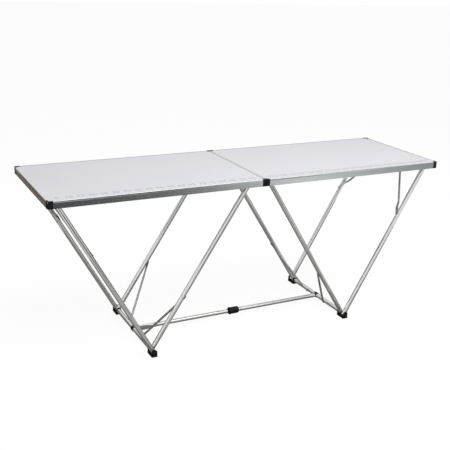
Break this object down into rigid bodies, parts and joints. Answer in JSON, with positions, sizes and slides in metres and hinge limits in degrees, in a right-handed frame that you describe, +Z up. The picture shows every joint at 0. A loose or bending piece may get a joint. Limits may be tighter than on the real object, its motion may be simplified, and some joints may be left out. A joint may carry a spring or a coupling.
{
  "type": "wallpaper pasting table",
  "caption": "Folding table with a long pale board top in two halves, aluminium edge rails, V-shaped braced tube leg frames and a locking stretcher",
  "frame": {"origin": "centre of the footprint, on the floor", "axes": "+X along the table, +Y from the front edge with the scale to the rear, +Z up"},
  "size_m": [2, 0.6, 0.8035],
  "materials": {
    "board": "matt pale grey coated fibreboard with a printed scale",
    "rail": "satin anodised extruded section",
    "tube": "bright drawn tube",
    "black_plastic": "moulded, fine satin",
    "steel": "zinc plated"
  },
  "bodies": {
    "left_half": {"hinge_pin": "steel", "left_board": "board", "left_centre_rail": "rail", "left_end_rail": "rail", "left_front_bar_clip": "black_plastic", "left_front_centre_cap": "black_plastic", "left_front_outer_cap": "black_plastic", "left_front_pivot_bracket": "steel", "left_front_rail": "rail", "left_hinge_leaf": "steel", "left_rear_bar_clip": "black_plastic", "left_rear_centre_cap": "black_plastic", "left_rear_outer_cap": "black_plastic", "left_rear_pivot_bracket": "steel", "left_rear_rail": "rail"},
    "right_half": {"right_board": "board", "right_centre_rail": "rail", "right_end_rail": "rail", "right_front_bar_clip": "black_plastic", "right_front_centre_cap": "black_plastic", "right_front_outer_cap": "black_plastic", "right_front_pivot_bracket": "steel", "right_front_rail": "rail", "right_hinge_leaf": "steel", "right_rear_bar_clip": "black_plastic", "right_rear_centre_cap": "black_plastic", "right_rear_outer_cap": "black_plastic", "right_rear_pivot_bracket": "steel", "right_rear_rail": "rail"},
    "left_outer_frame": {"left_outer_front_brace": "tube", "left_outer_front_leg": "tube", "left_outer_rear_brace": "tube", "left_outer_rear_leg": "tube", "left_outer_top_bar": "tube"},
    "right_outer_frame": {"right_outer_front_brace": "tube", "right_outer_front_leg": "tube", "right_outer_rear_brace": "tube", "right_outer_rear_leg": "tube", "right_outer_top_bar": "tube"},
    "left_inner_frame": {"left_bottom_bar": "tube", "left_front_shoe": "black_plastic", "left_inner_front_brace": "tube", "left_inner_front_leg": "tube", "left_inner_rear_brace": "tube", "left_inner_rear_leg": "tube", "left_rear_shoe": "black_plastic"},
    "right_inner_frame": {"right_bottom_bar": "tube", "right_front_shoe": "black_plastic", "right_inner_front_brace": "tube", "right_inner_front_leg": "tube", "right_inner_rear_brace": "tube", "right_inner_rear_leg": "tube", "right_rear_shoe": "black_plastic"},
    "left_stretcher": {"left_stretcher_eye": "black_plastic", "left_stretcher_tube": "tube", "stretcher_nose_plug": "black_plastic"},
    "right_stretcher": {"right_stretcher_eye": "black_plastic", "right_stretcher_tube": "tube"},
    "sleeve": {"locking_sleeve": "black_plastic"}
  },
  "joints": [
    {"name": "centre_fold", "type": "hinge", "parent": "left_half", "child": "right_half", "pos_m": [0, 0, 0.7667], "axis": [0, 1, 0], "range_deg": [0, 60]},
    {"name": "left_outer_fold", "type": "hinge", "parent": "left_half", "child": "left_outer_frame", "pos_m": [-0.958, 0, 0.783], "axis": [0, -1, 0], "range_deg": [0, 60.32]},
    {"name": "right_outer_fold", "type": "hinge", "parent": "right_half", "child": "right_outer_frame", "pos_m": [0.958, 0, 0.783], "axis": [0, 1, 0], "range_deg": [0, 60.32]},
    {"name": "left_inner_fold", "type": "hinge", "parent": "left_half", "child": "left_inner_frame", "pos_m": [-0.045, 0, 0.783], "axis": [0, 1, 0], "range_deg": [0, 55.87]},
    {"name": "right_inner_fold", "type": "hinge", "parent": "right_half", "child": "right_inner_frame", "pos_m": [0.045, 0, 0.783], "axis": [0, -1, 0], "range_deg": [0, 55.87]},
    {"name": "left_stretcher_fold", "type": "hinge", "parent": "left_inner_frame", "child": "left_stretcher", "pos_m": [-0.529, 0, 0.0225], "axis": [0, -1, 0], "range_deg": [0, 55.87]},
    {"name": "right_stretcher_fold", "type": "hinge", "parent": "right_inner_frame", "child": "right_stretcher", "pos_m": [0.529, 0, 0.0225], "axis": [0, 1, 0], "range_deg": [0, 55.87]},
    {"name": "sleeve_slide", "type": "slide", "parent": "right_stretcher", "child": "sleeve", "axis": [1, 0, 0], "range_m": [0, 0.045]}
  ],
  "couplings": [
    {"joint": "left_outer_fold", "follows": "centre_fold", "ratio": 1.0054},
    {"joint": "right_outer_fold", "follows": "centre_fold", "ratio": 1.0054},
    {"joint": "left_inner_fold", "follows": "centre_fold", "ratio": 0.9312},
    {"joint": "right_inner_fold", "follows": "centre_fold", "ratio": 0.9312},
    {"joint": "left_stretcher_fold", "follows": "centre_fold", "ratio": 0.9312},
    {"joint": "right_stretcher_fold", "follows": "centre_fold", "ratio": 0.9312}
  ]
}
